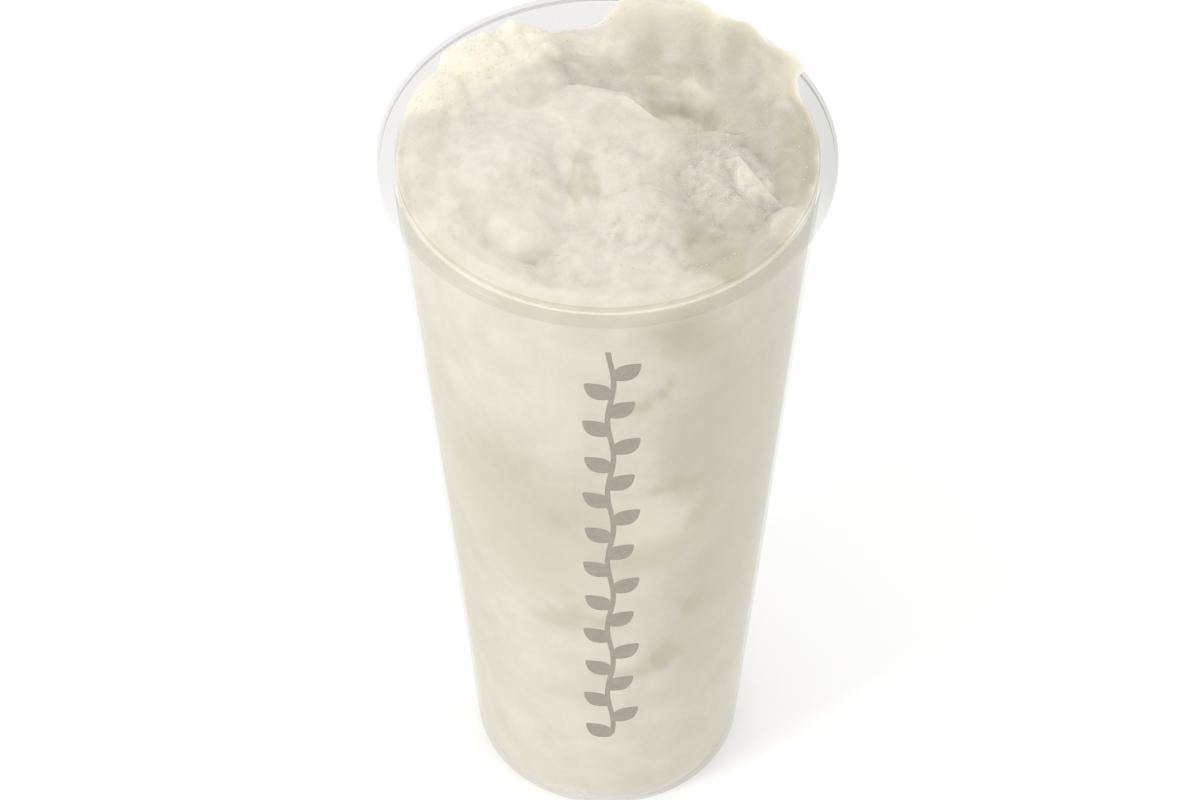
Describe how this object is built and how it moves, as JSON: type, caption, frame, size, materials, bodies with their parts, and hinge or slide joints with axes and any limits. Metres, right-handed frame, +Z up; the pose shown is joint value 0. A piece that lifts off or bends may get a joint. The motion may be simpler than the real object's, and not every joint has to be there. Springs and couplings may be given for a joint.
{
  "type": "lychee slush in a clear takeaway cup",
  "caption": "Tall clear takeaway cup filled to the rim with pale milky ice slush, its scooped and lumpy top standing slightly above the rim.",
  "frame": {"origin": "middle of the cup's foot, on the surface that the cup stands on", "axes": "+Z up along the cup's axis, +X to the right and +Y away from someone who faces the printed front"},
  "size_m": [0.09, 0.09, 0.1795],
  "materials": {
    "clear_plastic": "clear, thin and glossy",
    "milky_ice": "wet crushed ice, pale cream and slightly translucent"
  },
  "bodies": {
    "root": {"cup": "clear_plastic", "slush": "milky_ice"}
  },
  "joints": []
}
